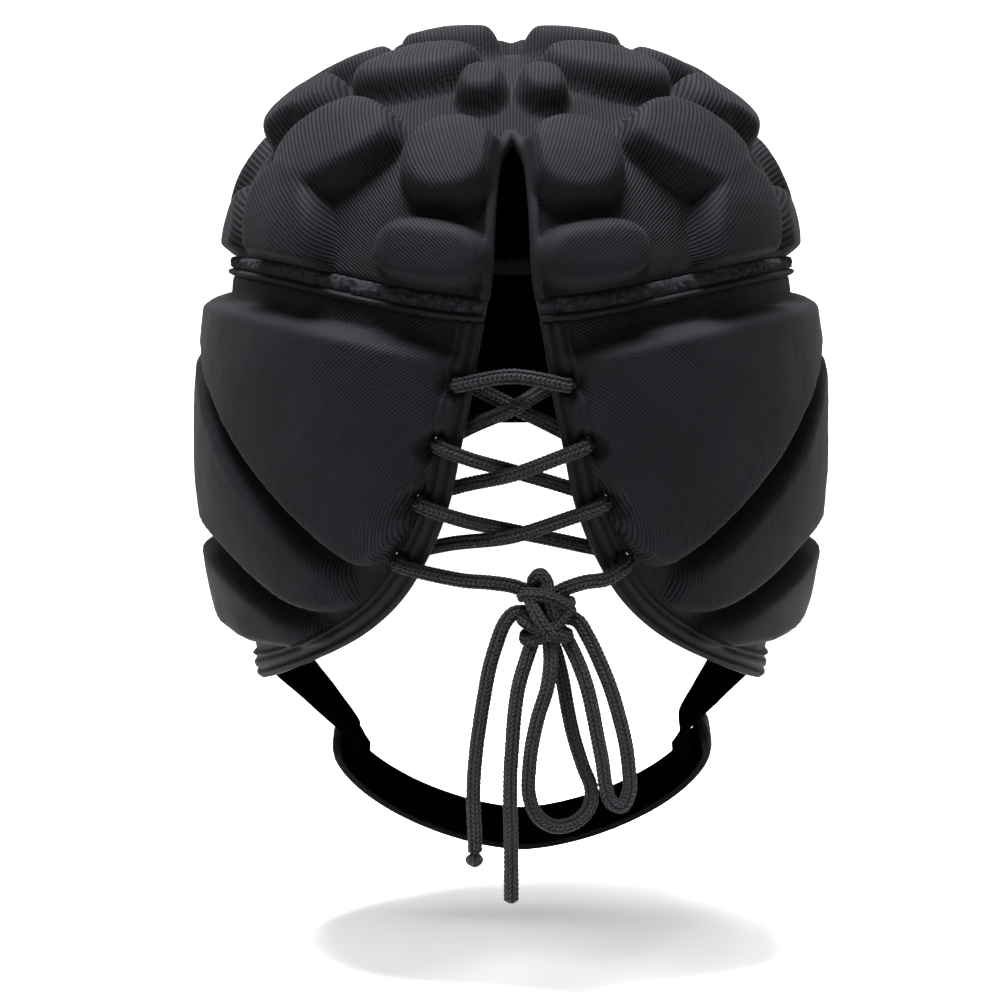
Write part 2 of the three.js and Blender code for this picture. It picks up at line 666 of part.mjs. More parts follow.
add("chin_tab_left", makeTab(-1), "cloth");
add("chin_tab_right", makeTab(1), "cloth");
add("chin_strap", makeStrap(), "cloth");
add("lace_lacing", cordTube(heldRoute(), heldStep), "lace");
const knot = new THREE.SphereGeometry(0.5, 10, 8).scale(...knotSize.toArray()).translate(...knotCentre.toArray());
add("lace_knot", fromGeometry(knot), "lace");
for (const [name, route] of Object.entries(routes)) {
  add(name, cordTube(route.map((p) => point(...p)), freeStep), "lace");
}
const tailEnd = point(...routes.lace_tail_left.at(-1));
const knobRadius = endKnobDiameter / 2;
const knob = new THREE.CylinderGeometry(knobRadius, knobRadius, endKnobHeight, laceSides);
knob.rotateX(Math.PI / 2).translate(tailEnd.x, tailEnd.y, tailEnd.z - clearance - endKnobHeight / 2);
add("lace_end_left", fromGeometry(knob), "lace");

export default model;
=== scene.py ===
import math

import bmesh
import bpy
import numpy as np
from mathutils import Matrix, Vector, noise
from mathutils.kdtree import KDTree


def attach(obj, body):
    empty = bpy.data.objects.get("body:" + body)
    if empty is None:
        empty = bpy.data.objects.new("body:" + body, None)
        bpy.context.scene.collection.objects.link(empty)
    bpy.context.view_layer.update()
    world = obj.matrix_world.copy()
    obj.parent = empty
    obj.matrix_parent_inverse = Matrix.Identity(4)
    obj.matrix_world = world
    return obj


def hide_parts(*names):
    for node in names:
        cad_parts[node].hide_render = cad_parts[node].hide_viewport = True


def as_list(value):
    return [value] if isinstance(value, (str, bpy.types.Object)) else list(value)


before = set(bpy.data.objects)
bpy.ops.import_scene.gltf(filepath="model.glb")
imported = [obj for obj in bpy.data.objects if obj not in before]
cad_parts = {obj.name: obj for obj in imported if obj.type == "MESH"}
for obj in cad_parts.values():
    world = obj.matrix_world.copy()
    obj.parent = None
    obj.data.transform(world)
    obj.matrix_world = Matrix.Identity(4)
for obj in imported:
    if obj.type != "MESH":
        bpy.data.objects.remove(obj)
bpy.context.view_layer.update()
print("frame loaded")

mm = 0.001

# the photograph's view: from behind, a little above level
cameraSet = {"target": (-3.3, 0, -70.5), "distance": 1000, "level": 4, "lens": 120}


def makeCamera():
    level = math.radians(cameraSet["level"])
    target = Vector(cameraSet["target"]) * mm
    away = Vector((0, -math.cos(level), math.sin(level))) * cameraSet["distance"] * mm
    data = bpy.data.cameras.new("camera")
    data.lens = cameraSet["lens"]
    data.clip_end = 50
    camera = bpy.data.objects.new("camera", data)
    bpy.context.collection.objects.link(camera)
    camera.location = target + away
    camera.rotation_euler = (-away).to_track_quat("-Z", "Y").to_euler()
    bpy.context.scene.camera = camera


makeCamera()
print("camera placed")

# head form, millimetres
head = {
    "breadth": 158, "back": 97, "front": 97, "rise": 58.5, "skirt": 121,
    "sectionPower": 2.2, "domePower": 2.15, "wall": 3, "clearance": 0.3, "padSize": 30,
    # half sizes below the seam, as shares of those at the seam: down, breadth, back, front
    "shares": np.array([
        (0, 1, 1, 1),
        (0.25, 1.05, 0.99, 0.985),
        (0.5, 1.06, 0.95, 0.96),
        (0.75, 1.01, 0.87, 0.9),
        (1, 0.9, 0.76, 0.85),
    ]),
}
band = {"width": 6, "dip": 12.7, "spread": 40}


def smoothed(table, column, at, reach):
    # a table's column read at a place, its corners rounded over a reach
    steps = np.linspace(-reach, reach, 7)
    return np.mean([np.interp(at + s, table[:, 0], table[:, column]) for s in steps], axis=0)


def halfSizes(level):
    down = np.maximum(level - 1, 0)
    share = [smoothed(head["shares"], c, down, 0.1) / smoothed(head["shares"], c, 0.0, 0.1) for c in (1, 2, 3)]
    polar = np.clip(level, 0, 1) * math.pi / 2
    out, up = np.sin(polar), np.maximum(np.cos(polar), 0)
    dome = (out ** head["domePower"] + up ** head["domePower"]) ** (-1 / head["domePower"])
    height = np.where(level <= 1, head["rise"] * up * dome, -down * head["skirt"])
    return [head["breadth"] / 2 * share[0] * out * dome, head["back"] * share[1] * out * dome,
            head["front"] * share[2] * out * dome, height]


def headPoint(turn, level):
    # turn in degrees from the back, positive to the wearer's right; level 0 top, 1 seam, 2 hem
    turn, level = np.broadcast_arrays(np.asarray(turn, float), np.asarray(level, float))
    s, c = np.sin(np.radians(turn)), np.cos(np.radians(turn))
    power = head["sectionPower"]
    ring = (np.abs(s) ** power + np.abs(c) ** power) ** (-1 / power)
    half, back, front, height = halfSizes(level)
    return np.stack([half * s * ring, -np.where(c > 0, back, front) * c * ring, height], -1)


def headFrame(turn, level):
    # place on the hollow and the way out from it
    base, turn, level = headPoint(turn, level), np.asarray(turn), np.asarray(level)
    alongTurn = headPoint(turn + 0.5, level) - headPoint(turn - 0.5, level)
    alongLevel = headPoint(turn, level + 0.006) - headPoint(turn, np.maximum(level - 0.006, 0.001))
    out = np.cross(alongLevel, alongTurn)
    size = np.linalg.norm(out, axis=-1, keepdims=True)
    out = np.where(size > 1e-9, out / np.maximum(size, 1e-9), np.array([0, 0, 1.0]))
    return base, out


def lifted(turn, level, lift):
    base, out = headFrame(turn, level)
    return base + out * np.asarray(lift, float)[..., None]


def mmPerTurn(turn, level):
    return np.linalg.norm(headPoint(np.asarray(turn) + 0.5, level) - headPoint(np.asarray(turn) - 0.5, level), axis=-1)


def mmPerLevel(turn, level):
    low = np.maximum(np.asarray(level) - 0.01, 0)
    gap = headPoint(turn, np.asarray(level) + 0.01) - headPoint(turn, low)
    return np.linalg.norm(gap, axis=-1) / (np.asarray(level) + 0.01 - low)


def seamLevel(turn):
    away = np.abs((np.asarray(turn, float) + 180) % 360 - 180)
    return 1 + band["dip"] / head["skirt"] * np.exp(-((away / band["spread"]) ** 2))


bandShare = band["width"] / 2 / head["skirt"]
gapShare = head["clearance"] / head["skirt"]


# openings: half width against height, millimetres
opening = {
    "gapWidth": 148, "slitRise": 31, "faceWidth": 132, "browDepth": 53, "browInset": 8,
    "slit": [(1, 0.002), (0.86, 0.018), (0.5, 0.028), (-0.16, 0.036), (-0.66, 0.056)],
    "gap": [(0.303, 0.074), (0.413, 0.092), (0.541, 0.114), (0.66, 0.152), (0.76, 0.2),
            (0.835, 0.26), (0.905, 0.345), (0.955, 0.415), (1, 0.475), (1.06, 0.6)],
    "face": [(0, -0.02), (0.4, -0.02), (0.78, 0.02), (0.95, 0.16), (1, 0.4), (0.97, 0.75), (0.9, 1)],
}


def throughPoints(points, steps, power=0.5):
    # smooth line through points, evenly parted knots by chord length to a power
    p = np.asarray(points, float)
    p = np.vstack([2 * p[0] - p[1], p, 2 * p[-1] - p[-2]])
    made = []
    for a, b, c, d in zip(p[:-3], p[1:-2], p[2:-1], p[3:]):
        t = np.cumsum([0] + [max(np.linalg.norm(v), 1e-6) ** power for v in (b - a, c - b, d - c)])
        s = np.linspace(t[1], t[2], steps, endpoint=False)[:, None]
        ab = (t[1] - s) / (t[1] - t[0]) * a + (s - t[0]) / (t[1] - t[0]) * b
        bc = (t[2] - s) / (t[2] - t[1]) * b + (s - t[1]) / (t[2] - t[1]) * c
        cd = (t[3] - s) / (t[3] - t[2]) * c + (s - t[2]) / (t[3] - t[2]) * d
        abc = (t[2] - s) / (t[2] - t[0]) * ab + (s - t[0]) / (t[2] - t[0]) * bc
        bcd = (t[3] - s) / (t[3] - t[1]) * bc + (s - t[1]) / (t[3] - t[1]) * cd
        made.append((t[2] - s) / (t[2] - t[1]) * abc + (s - t[1]) / (t[2] - t[1]) * bcd)
    made.append(p[-2][None])
    return np.vstack(made)


rearEdge = throughPoints(
    [(half * opening["gapWidth"], above * opening["slitRise"]) for above, half in opening["slit"]]
    + [(half * opening["gapWidth"], -below * head["skirt"]) for below, half in opening["gap"]], 12)[::-1]
faceEdge = throughPoints(
    [(half * opening["faceWidth"] / 2, -opening["browDepth"] - below * (head["skirt"] - opening["browDepth"]))
     for half, below in opening["face"]], 12)[::-1]


def turnAt(half, level):
    # turn at which the hollow is this far from the middle
    wide = halfSizes(np.asarray(level, float))[0]
    share = np.clip(half / wide, 0, 0.9995) ** head["sectionPower"]
    return np.degrees(np.arctan((share / (1 - share)) ** (1 / head["sectionPower"])))


def gapTurn(level):
    z = halfSizes(np.asarray(level, float))[3]
    half = np.interp(z, rearEdge[:, 1], rearEdge[:, 0])
    return np.where(z < opening["slitRise"], turnAt(half, level), 0)


def frontTurn(level):
    # front edge of a side panel: the brow's seam, then the face opening
    z = halfSizes(np.asarray(level, float))[3]
    joint = opening["faceWidth"] / 2 - opening["browInset"] + head["clearance"] / 2
    faceHalf = np.interp(z, faceEdge[:, 1], faceEdge[:, 0])
    inFace = z < np.interp(joint, [58, 66], [-58.6, -80])
    return 180 - turnAt(np.where(inFace, np.maximum(faceHalf, 0), joint), level)


# relief of the padding
crownPads = {
    "height": 9.5, "shoulder": 5.2, "bridge": 0.8,
    # turn, level, width, length (shares of padSize), lean, square, rise
    "seen": [
        (15, 0.973, 0.97, 0.55, -8, 2.4, 1), (46, 0.905, 0.97, 1.3, 36, 2, 1), (74, 0.91, 0.95, 0.85, 0, 1.9, 0.45),
        (12.3, 0.725, 0.87, 0.83, 8, 2.1, 1), (39, 0.675, 1.3, 0.97, 0, 1.6, 1), (8.3, 0.485, 0.44, 0.53, 0, 2.6, 0.9),
        (31, 0.4, 1.15, 0.83, 14, 1.9, 1), (62, 0.545, 0.95, 0.8, 0, 1.8, 1), (47, 0.185, 0.95, 0.75, 0, 1.9, 1),
        (70, 0.36, 0.85, 0.68, 0, 1.9, 0.9),
    ],
    "further": [
        (96, 0.92, 0.95, 0.9, 0, 2, 0.4), (116, 0.9, 1.07, 1, 0, 2, 0.5), (142, 0.91, 1.07, 1, 0, 2, 0.9),
        (168, 0.92, 1.1, 1, 0, 2, 1), (90, 0.72, 0.9, 0.85, 0, 2, 0.5), (113, 0.66, 1.03, 1, 0, 2, 0.7),
        (136, 0.69, 1.03, 1, 0, 2, 1), (160, 0.7, 1.07, 1, 0, 2, 1), (98, 0.43, 0.93, 0.85, 0, 2, 1),
        (125, 0.45, 0.97, 0.9, 0, 2, 1), (157, 0.46, 1.03, 0.93, 0, 2, 1), (125, 0.21, 0.87, 0.8, 0, 2, 1),
        (162, 0.24, 0.8, 0.87, 0, 2, 1),
    ],
}
browPads = {
    "height": 8, "shoulder": 5, "bridge": 0.9,
    "seen": [(168.5, 1.21, 1.1, 1.1, 0, 3, 1), (151, 1.21, 0.83, 1.1, 0, 3, 1), (130, 1.24, 0.73, 1.13, 0, 3, 1)],
}
sidePads = {
    "height": 9, "shoulder": 4.4, "bridge": 0.7,
    # turn, top level, bottom level, rise
    "shield": [
        (9.5, 1.21, 1.3, 0.15), (14, 1.19, 1.42, 0.7), (20, 1.17, 1.6, 1), (26, 1.155, 1.685, 1), (33, 1.14, 1.64, 1),
        (42, 1.122, 1.55, 1), (52, 1.108, 1.445, 1), (62, 1.1, 1.335, 1), (74, 1.092, 1.24, 0.9), (90, 1.08, 1.18, 0.8),
        (106, 1.07, 1.17, 0.8), (118, 1.09, 1.16, 0.5),
    ],
    "ear": [
        (31, 1.7, 1.765, 0.4), (36, 1.65, 1.79, 0.9), (44, 1.565, 1.77, 1), (53, 1.47, 1.715, 1), (62, 1.375, 1.66, 1),
        (72, 1.28, 1.63, 0.95), (85, 1.21, 1.62, 0.92), (98, 1.205, 1.62, 0.92), (110, 1.25, 1.61, 0.8),
        (119, 1.34, 1.54, 0.5),
    ],
    "rib": [
        (38, 1.825, 1.86, 0.4), (46, 1.79, 1.875, 0.9), (57, 1.725, 1.875, 1), (70, 1.675, 1.86, 1),
        (85, 1.655, 1.84, 1), (100, 1.655, 1.83, 1), (114, 1.65, 1.79, 0.6),
    ],
}


def shoulderAt(inset, reach, height):
    # height of a moulded pad at a distance in from its foot: steep wall, round shoulder
    t = np.clip((inset + 0.8) / reach, 0, 1)
    rise = (1 - (1 - t) ** 2.3) ** 0.85
    return np.where(inset > -0.8, height * rise, (inset + 0.8) * 2.5)


def diamondPads(points, pads, height, shoulder):
    # heights of the crown's and brow's separate pads
    found = []
    for turn, level, width, length, lean, square, rise in pads:
        centre, out = headFrame(turn, level)
        across = headPoint(turn + 0.5, level) - headPoint(turn - 0.5, level)
        across /= np.linalg.norm(across)
        down = headPoint(turn, level + 0.01) - headPoint(turn, level - 0.01)
        down /= np.linalg.norm(down)
        gap = points - centre
        x, y = gap @ across, gap @ down
        a = math.radians(lean)
        u, v = x * math.cos(a) + y * math.sin(a), -x * math.sin(a) + y * math.cos(a)
        half = np.array([width, length]) * head["padSize"] / 2
        q = ((np.abs(u) / half[0]) ** square + (np.abs(v) / half[1]) ** square) ** (1 / square)
        reach = np.hypot(u, v) / np.maximum(q, 1e-3)
        inset = (1 - q) * np.where(q > 1e-3, reach, half.min())
        crest = height * rise * (0.93 + 0.07 * (1 - np.clip(q, 0, 1) ** 2))
        lift = shoulderAt(inset, min(shoulder, half.min() * 0.62), crest)
        found.append(np.where(gap @ out > -26, lift, -50))
    return found


def ridgePads(turn, level, table, height, shoulder):
    table = np.array(table)
    away = np.abs(turn)
    top, bottom, rise = [smoothed(table, c, away, 3) for c in (1, 2, 3)]
    perTurn, perLevel = mmPerTurn(away, level), mmPerLevel(away, level)
    insets = []
    for column, sign in ((1, 1), (2, -1)):
        slope = (smoothed(table, column, away + 1, 3) - smoothed(table, column, away - 1, 3)) / 2 * perLevel / perTurn
        edge = top if sign > 0 else bottom
        insets.append(sign * (level - edge) * perLevel / np.hypot(1, slope))
    insets.append((away - table[0, 0]) * perTurn)
    insets.append((table[-1, 0] - away) * perTurn)
    soft = 1.2
    inset = -soft * np.log(sum(np.exp(-np.clip(i, -60, 60) / soft) for i in insets))
    return shoulderAt(inset, shoulder, height * rise)


def bridged(lifts, soft):
    # cloth stretched over the pads: the highest, with its valleys bridged
    return soft * np.log(1 + sum(np.exp(np.clip(lift, -40, 40) / soft) for lift in lifts))


def padRelief(facts):
    # relief of separate pads, each with its mirrored twin
    def relief(points, turn, level):
        lifts = []
        for pads in (facts["seen"], facts.get("further", [])):
            both = pads + [(-p[0], *p[1:4], -p[4], *p[5:]) for p in pads]
            lifts += diamondPads(points, both, facts["height"], facts["shoulder"])
        return bridged(lifts, facts["bridge"])
    return relief


def sideRelief(points, turn, level):
    lifts = [ridgePads(turn, level, sidePads[name], sidePads["height"], sidePads["shoulder"])
             for name in ("shield", "ear", "rib")]
    side = np.sign(turn.mean())
    temple = [(side * p[0], *p[1:]) for p in browPads["seen"][2:]]
    lifts += diamondPads(points, temple, browPads["height"], browPads["shoulder"])
    return bridged(lifts, sidePads["bridge"])


# making of cloth shells
def addPiece(name, mesh, materials):
    piece = bpy.data.objects.new(name, mesh)
    bpy.context.collection.objects.link(piece)
    for material in materials:
        mesh.materials.append(material)
    return piece


def pieceFrom(bm, name, materials, smooth=True):
    mesh = bpy.data.meshes.new(name)
    bm.to_mesh(mesh)
    bm.free()
    if smooth:
        mesh.polygons.foreach_set("use_smooth", [True] * len(mesh.polygons))
    return addPiece(name, mesh, materials)


def spotsOf(bm):
    return np.array([v.co for v in bm.verts])


def newGrid(columns, rows):
    # a flat grid, and how far across and along it each vertex lies, 0 to 1
    bm = bmesh.new()
    bmesh.ops.create_grid(bm, x_segments=columns, y_segments=rows, size=1)
    return bm, *((spotsOf(bm)[:, :2] + 1) / 2).T


def doubled(bm):
    # a second layer of the faces, one unit above the first
    top = bmesh.ops.extrude_face_region(bm, geom=bm.faces[:], use_keep_orig=True)["geom"]
    bmesh.ops.translate(bm, verts=[v for v in top if isinstance(v, bmesh.types.BMVert)], vec=(0, 0, 1))


def carried(bm, label, uvs, place, surfaceAt=None):
    # each vertex's own coordinate, its faces' materials, then its place in millimetres
    layer = bm.loops.layers.uv.new(label)
    bm.verts.index_update()
    for face in bm.faces:
        if surfaceAt:
            face.material_index = surfaceAt([v.index for v in face.verts])
        for loop in face.loops:
            loop[layer].uv = uvs[loop.vert.index]
    for vert, spot in zip(bm.verts, place * mm):
        vert.co = spot


def closeUp(bm, dist):
    # joins the rolled grid's seam and fills its two ends
    bmesh.ops.remove_doubles(bm, verts=bm.verts, dist=dist)
    bmesh.ops.holes_fill(bm, edges=[e for e in bm.edges if e.is_boundary], sides=0)
    bmesh.ops.recalc_face_normals(bm, faces=bm.faces)


def flatPlace(turn, level):
    # the cloth laid out as a disc round the crown's top
    return level * np.sin(np.radians(turn)), -level * np.cos(np.radians(turn))


def fromFlat(flat):
    return np.degrees(np.arctan2(flat[:, 0], -flat[:, 1])), np.hypot(flat[:, 0], flat[:, 1])


def cutHole(bm, hole):
    # takes out the faces in a round or oval hole and draws its rim to the outline
    turn0, level0, width, height = hole
    perTurn, perLevel = float(mmPerTurn(turn0, level0)), float(mmPerLevel(turn0, level0))

    def reach(spot):
        turn, level = math.degrees(math.atan2(spot[0], -spot[1])), math.hypot(spot[0], spot[1])
        x, y = (turn - turn0) * perTurn, (level - level0) * perLevel
        return math.hypot(x / (width / 2), y / (height / 2)), x, y

    gone = [f for f in bm.faces if reach(f.calc_center_median())[0] < 1]
    rim = {v for f in gone for v in f.verts}
    bmesh.ops.delete(bm, geom=gone, context="FACES")
    for vert in rim:
        if vert.is_valid:
            q, x, y = reach(vert.co)
            spot = flatPlace(turn0 + x / q / perTurn, level0 + y / q / perLevel)
            vert.co = (spot[0], spot[1], 0)


def edgeDistance(spots, edges):
    tree = KDTree(len(edges) * 4)
    count = 0
    for a, b in edges:
        for k in range(4):
            tree.insert(a + (b - a) * (k / 4), count)
            count += 1
    tree.balance()
    return np.array([tree.find(p)[2] for p in spots])


def rearDistance(base):
    # distance from the edge of the gap at the back, over the cloth
    z = np.clip(base[:, 2], -head["skirt"], opening["slitRise"])
    half = np.interp(z, rearEdge[:, 1], rearEdge[:, 0])
    slope = (np.interp(z + 1, rearEdge[:, 1], rearEdge[:, 0]) - np.interp(z - 1, rearEdge[:, 1], rearEdge[:, 0])) / 2
    flat = (np.abs(base[:, 0]) - half) / np.hypot(1, slope)
    over = np.maximum(base[:, 2] - opening["slitRise"], 0)
    return np.where(base[:, 1] < 0, np.hypot(flat, over), 99)


def clothShell(name, facts, place, relief, uvAt, holes=()):
    # a grid laid out flat, cut, thickened, then carried onto the head form
    bm, across, along = newGrid(facts["columns"], facts["rows"])
    turn, level = place(across, along)
    for vert, x, y in zip(bm.verts, *flatPlace(turn, level)):
        vert.co = (x, y, 0)
    bmesh.ops.remove_doubles(bm, verts=bm.verts, dist=1e-5)
    bmesh.ops.dissolve_degenerate(bm, edges=bm.edges, dist=1e-6)
    for hole in holes:
        cutHole(bm, hole)
    rim = [e for e in bm.edges if len(e.link_faces) == 1]
    onHead = {}
    for edge in rim:
        for vert in edge.verts:
            if vert not in onHead:
                onHead[vert] = Vector(headPoint(*[v[0] for v in fromFlat(np.array([vert.co]))]))
    rimLines = [(onHead[e.verts[0]], onHead[e.verts[1]]) for e in rim]
    doubled(bm)
    co = spotsOf(bm)
    turn, level = fromFlat(co)
    outside = co[:, 2] > 0.5
    base, out = headFrame(turn, level)
    distance = edgeDistance([Vector(p) for p in base], rimLines)
    wall = head["wall"]
    bulge = relief(base, turn, level)
    near = np.clip(distance / 4, 0, 1)
    bulge *= near * near * (3 - 2 * near)
    rear, hem = rearDistance(base), facts.get("hem", 0)
    if hem:
        bulge = bulge + hemLift(rear, facts)
    crumple = np.array([noise.noise(Vector(p) * 0.09) * 0.35 + noise.noise(Vector(p) * 0.3) * 0.1 for p in base])
    bulge = bulge + crumple * near
    radius = wall / 2
    rounding = np.sqrt(np.maximum(radius ** 2 - np.maximum(radius - distance, 0) ** 2, 0))
    lift = np.where(outside, radius + rounding + bulge, radius - rounding)
    placed = base + out * lift[:, None]
    inHem = rear < hem

    def surfaceAt(corners):
        # outer cloth, lining or binding
        if not any(outside[corners]):
            return 1
        return 2 if all(inHem[corners]) else 0

    carried(bm, "cloth", uvAt(turn, level), placed, surfaceAt)
    bmesh.ops.recalc_face_normals(bm, faces=bm.faces)
    piece = pieceFrom(bm, name, [cloth, liningAndShade, binding] if hem else [cloth, liningAndShade])
    valley = piece.data.attributes.new("valley", "FLOAT", "POINT")
    valley.data.foreach_set("value", np.clip(1 - bulge / 6, 0, 1).astype(np.float32))
    return piece


# shader groups and materials
def newGroup(name, inputs, outputs):
    group = bpy.data.node_groups.new(name, "ShaderNodeTree")
    for label, kind, value in inputs:
        socket = group.interface.new_socket(label, in_out="INPUT", socket_type=kind)
        if value is not None:
            socket.default_value = value
    for label, kind in outputs:
        group.interface.new_socket(label, in_out="OUTPUT", socket_type=kind)
    return group, group.nodes.new("NodeGroupInput"), group.nodes.new("NodeGroupOutput")


def mathNode(tree, operation, a, b=None):
    node = tree.nodes.new("ShaderNodeMath")
    node.operation = operation
    for socket, value in zip(node.inputs, (a, b)):
        if value is None:
            continue
        if isinstance(value, (int, float)):
            socket.default_value = value
        else:
            tree.links.new(value, socket)
    return node.outputs[0]


def times(tree, a, b):
    return mathNode(tree, "MULTIPLY", a, b)


def plus(tree, a, b):
    return mathNode(tree, "ADD", a, b)


def noiseNode(tree, vector, scale, detail, roughness=0.5):
    node = tree.nodes.new("ShaderNodeTexNoise")
    tree.links.new(vector, node.inputs["Vector"])
    node.inputs["Scale"].default_value = scale
    node.inputs["Detail"].default_value = detail
    node.inputs["Roughness"].default_value = roughness
    return node.outputs["Fac"]


def makeRibs():
    # fine ribs of a knitted cloth: a coordinate and a pitch, both in millimetres; the second output is painted shade,
    # low in the valleys between ribs and high on their crests
    group, ins, outs = newGroup(
        "ribbedKnit",
        [("Place", "NodeSocketVector", None), ("Pitch", "NodeSocketFloat", 0.86)],
        [("Height", "NodeSocketFloat"), ("RibShade", "NodeSocketFloat")])
    link = group.links.new
    split = group.nodes.new("ShaderNodeSeparateXYZ")
    link(ins.outputs["Place"], split.inputs["Vector"])
    waver = noiseNode(group, ins.outputs["Place"], 0.05, 1)
    shift = times(group, waver, 2.4)
    across = mathNode(group, "DIVIDE", plus(group, split.outputs["X"], shift), ins.outputs["Pitch"])
    rib = mathNode(group, "SINE", times(group, across, 2 * math.pi))
    crest = plus(group, times(group, rib, 0.5), 0.5)
    rowPhase = mathNode(group, "DIVIDE", split.outputs["Y"], times(group, ins.outputs["Pitch"], 0.45))
    rowShift = plus(group, rowPhase, times(group, across, 0.5))
    row = mathNode(group, "SINE", times(group, rowShift, 2 * math.pi))
    fuzz = noiseNode(group, ins.outputs["Place"], 2.4, 3, 0.6)
    height = plus(group, crest, times(group, row, 0.1))
    height = plus(group, height, times(group, fuzz, 0.35))
    link(height, outs.inputs["Height"])
    # painted shade: this output makes the valleys between ribs darker than their crests
    link(crest, outs.inputs["RibShade"])
    return group


def makePlaits():
    # a round plaited cord: around in wales, along in millimetres; the second output is painted shade, low in the
    # grooves and holes between plaits
    group, ins, outs = newGroup(
        "plaitedCord",
        [("Place", "NodeSocketVector", None), ("Wales", "NodeSocketFloat", 5.0), ("Stitch", "NodeSocketFloat", 1.3)],
        [("Height", "NodeSocketFloat"), ("GrooveShade", "NodeSocketFloat")])
    link = group.links.new
    split = group.nodes.new("ShaderNodeSeparateXYZ")
    link(ins.outputs["Place"], split.inputs["Vector"])
    around = times(group, split.outputs["X"], ins.outputs["Wales"])
    inWale = mathNode(group, "ABSOLUTE", mathNode(group, "SUBTRACT", mathNode(group, "FRACT", around), 0.5))
    slant = times(group, inWale, 1.9)
    along = mathNode(group, "DIVIDE", split.outputs["Y"], ins.outputs["Stitch"])
    phase = plus(group, along, slant)
    stitch = mathNode(group, "ABSOLUTE", mathNode(group, "SINE", times(group, phase, math.pi)))
    bulge = mathNode(group, "POWER", plus(group, stitch, 0.001), 0.6)
    body = mathNode(group, "SUBTRACT", 1.0, mathNode(group, "POWER", times(group, inWale, 2.0), 4.0))
    middle = mathNode(group, "MINIMUM", plus(group, times(group, inWale, 5.0), 0.35), 1.0)
    shape = times(group, times(group, bulge, body), middle)
    fibre = noiseNode(group, ins.outputs["Place"], 9.0, 2)
    link(plus(group, shape, times(group, fibre, 0.15)), outs.inputs["Height"])
    # painted shade: this output makes the grooves and holes between plaits darker than the plaits
    link(shape, outs.inputs["GrooveShade"])
    return group


def newMaterial(name, roughness, sheen, specular=0.3):
    material = bpy.data.materials.new(name)
    material.use_nodes = True
    shader = material.node_tree.nodes["Principled BSDF"]
    shader.inputs["Roughness"].default_value = roughness
    shader.inputs["Sheen Weight"].default_value = sheen
    shader.inputs["Sheen Roughness"].default_value = 0.45
    shader.inputs["Specular IOR Level"].default_value = specular
    return material, material.node_tree, shader


def placeNode(tree, output, scale):
    coords = tree.nodes.new("ShaderNodeTexCoord")
    place = tree.nodes.new("ShaderNodeMapping")
    place.inputs["Scale"].default_value = (scale, scale, scale)
    tree.links.new(coords.outputs[output], place.inputs["Vector"])
    return place.outputs["Vector"]


def colourBetween(tree, share, dark, light):
    mix = tree.nodes.new("ShaderNodeMix")
    mix.data_type = "RGBA"
    mix.inputs["A"].default_value = (*dark, 1)
    mix.inputs["B"].default_value = (*light, 1)
    tree.links.new(share, mix.inputs["Factor"])
    return mix.outputs["Result"]


def bumped(tree, shader, height, strength, distance):
    bump = tree.nodes.new("ShaderNodeBump")
    bump.inputs["Strength"].default_value = strength
    bump.inputs["Distance"].default_value = distance * mm
    tree.links.new(height, bump.inputs["Height"])
    tree.links.new(bump.outputs["Normal"], shader.inputs["Normal"])


ribs = makeRibs()
plaits = makePlaits()


def clothMaterial(name, dark, light, pitch):
    material, tree, shader = newMaterial(name, 0.75, 0.004, 0.03)
    cloth = tree.nodes.new("ShaderNodeGroup")
    cloth.node_tree = ribs
    cloth.inputs["Pitch"].default_value = pitch
    tree.links.new(placeNode(tree, "UV", 100), cloth.inputs["Place"])
    valley = tree.nodes.new("ShaderNodeAttribute")
    valley.attribute_name = "valley"
    mottle = noiseNode(tree, placeNode(tree, "Object", 1000), 0.05, 3)
    # painted shade: the cloth is coloured darker in the valleys between ribs, times a random mottled tone
    share = times(tree, cloth.outputs["RibShade"], plus(tree, mottle, 0.2))
    tree.links.new(colourBetween(tree, share, dark, light), shader.inputs["Base Color"])
    depth = plus(tree, times(tree, valley.outputs["Fac"], 0.9), 0.5)
    bumped(tree, shader, times(tree, cloth.outputs["Height"], depth), 0.8, 0.22)
    return material


def plainKnit(name, colour, strength, specular):
    # fine plain jersey, for linings and bindings
    material, tree, shader = newMaterial(name, 0.8, 0, specular)
    place = placeNode(tree, "Object", 1000)
    grain = noiseNode(tree, place, 1.6, 4, 0.65)
    light = tuple(c * 1.7 for c in colour)
    tree.links.new(colourBetween(tree, grain, colour, light), shader.inputs["Base Color"])
    bumped(tree, shader, grain, strength, 0.25)
    return material


def pileMaterial():
    material, tree, shader = newMaterial("loopPile", 0.9, 0.006, 0.02)
    place = placeNode(tree, "Object", 1000)
    loops = tree.nodes.new("ShaderNodeTexVoronoi")
    loops.inputs["Scale"].default_value = 0.8
    tree.links.new(place, loops.inputs["Vector"])
    patches = noiseNode(tree, place, 0.8, 3, 0.75)
    # painted shade: each loop is coloured lighter at its middle and darker towards the gaps between loops, times a
    # random patchy tone
    share = times(tree, patches, mathNode(tree, "SUBTRACT", 1.2, loops.outputs["Distance"]))
    colour = colourBetween(tree, share, (0.0003, 0.0003, 0.0004), (0.017, 0.0163, 0.0195))
    tree.links.new(colour, shader.inputs["Base Color"])
    rough = mathNode(tree, "SUBTRACT", patches, times(tree, loops.outputs["Distance"], 0.5))
    bumped(tree, shader, rough, 0.9, 0.5)
    return material


